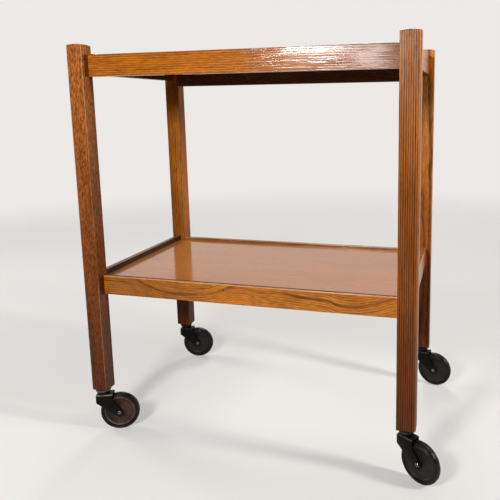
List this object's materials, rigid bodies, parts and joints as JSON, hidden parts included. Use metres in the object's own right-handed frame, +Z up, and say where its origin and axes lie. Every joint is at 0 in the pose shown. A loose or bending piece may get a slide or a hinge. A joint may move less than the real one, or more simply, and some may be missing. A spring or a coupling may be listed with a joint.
{
  "type": "tea trolley",
  "caption": "Two-tier oak tea trolley: square posts with domed tops carry shallow lipped trays, and each post stands on a swivel caster with a hooded fork.",
  "frame": {"origin": "on the floor, under the middle of the whole outline with the casters as they trail", "axes": "+Z up, +X along the long side, the front faces -Y"},
  "size_m": [0.6964, 0.4094, 0.769],
  "materials": {
    "leg_oak": "gloss varnish",
    "rail_oak": "gloss varnish",
    "panel_veneer": "gloss varnish",
    "fillet_oak": "matt",
    "caster_steel": "worn black japan",
    "bright_steel": "worn bright",
    "wheel_disc": "dusty black",
    "tyre_rubber": "aged"
  },
  "bodies": {
    "frame": {"caster_socket_back_left": "caster_steel", "caster_socket_back_right": "caster_steel", "caster_socket_front_left": "caster_steel", "caster_socket_front_right": "caster_steel", "leg_back_left": "leg_oak", "leg_back_right": "leg_oak", "leg_front_left": "leg_oak", "leg_front_right": "leg_oak", "lower_back_fillet": "fillet_oak", "lower_back_rail": "rail_oak", "lower_front_fillet": "fillet_oak", "lower_front_rail": "rail_oak", "lower_left_fillet": "fillet_oak", "lower_left_rail": "rail_oak", "lower_panel": "panel_veneer", "lower_right_fillet": "fillet_oak", "lower_right_rail": "rail_oak", "top_back_fillet": "fillet_oak", "top_back_rail": "rail_oak", "top_front_fillet": "fillet_oak", "top_front_rail": "rail_oak", "top_left_fillet": "fillet_oak", "top_left_rail": "rail_oak", "top_panel": "panel_veneer", "top_right_fillet": "fillet_oak", "top_right_rail": "rail_oak"},
    "caster_front_left": {"caster_fork_front_left": "caster_steel", "caster_stem_front_left": "bright_steel", "axle_front_left": "bright_steel"},
    "roller_front_left": {"wheel_front_left": "wheel_disc", "tyre_front_left": "tyre_rubber"},
    "caster_front_right": {"caster_fork_front_right": "caster_steel", "caster_stem_front_right": "bright_steel", "axle_front_right": "bright_steel"},
    "roller_front_right": {"wheel_front_right": "wheel_disc", "tyre_front_right": "tyre_rubber"},
    "caster_back_left": {"caster_fork_back_left": "caster_steel", "caster_stem_back_left": "bright_steel", "axle_back_left": "bright_steel"},
    "roller_back_left": {"wheel_back_left": "wheel_disc", "tyre_back_left": "tyre_rubber"},
    "caster_back_right": {"caster_fork_back_right": "caster_steel", "caster_stem_back_right": "bright_steel", "axle_back_right": "bright_steel"},
    "roller_back_right": {"wheel_back_right": "wheel_disc", "tyre_back_right": "tyre_rubber"}
  },
  "joints": [
    {"name": "swivel_front_left", "type": "hinge", "parent": "frame", "child": "caster_front_left", "pos_m": [-0.33121, -0.16606, 0.0787], "axis": [0, 0, 1], "continuous": true},
    {"name": "roll_front_left", "type": "hinge", "parent": "caster_front_left", "child": "roller_front_left", "pos_m": [-0.30293, -0.15464, 0.03843], "axis": [-0.3746, 0.9272, 0], "continuous": true},
    {"name": "swivel_front_right", "type": "hinge", "parent": "frame", "child": "caster_front_right", "pos_m": [0.28079, -0.16606, 0.0787], "axis": [0, 0, 1], "continuous": true},
    {"name": "roll_front_right", "type": "hinge", "parent": "caster_front_right", "child": "roller_front_right", "pos_m": [0.3072, -0.18131, 0.03843], "axis": [0.5, 0.866, 0], "continuous": true},
    {"name": "swivel_back_left", "type": "hinge", "parent": "frame", "child": "caster_back_left", "pos_m": [-0.33121, 0.18494, 0.0787], "axis": [0, 0, 1], "continuous": true},
    {"name": "roll_back_left", "type": "hinge", "parent": "caster_back_left", "child": "roller_back_left", "pos_m": [-0.30138, 0.19128, 0.03843], "axis": [-0.2079, 0.9781, 0], "continuous": true},
    {"name": "swivel_back_right", "type": "hinge", "parent": "frame", "child": "caster_back_right", "pos_m": [0.28079, 0.18494, 0.0787], "axis": [0, 0, 1], "continuous": true},
    {"name": "roll_back_right", "type": "hinge", "parent": "caster_back_right", "child": "roller_back_right", "pos_m": [0.31051, 0.17808, 0.03843], "axis": [0.225, 0.9744, 0], "continuous": true}
  ]
}
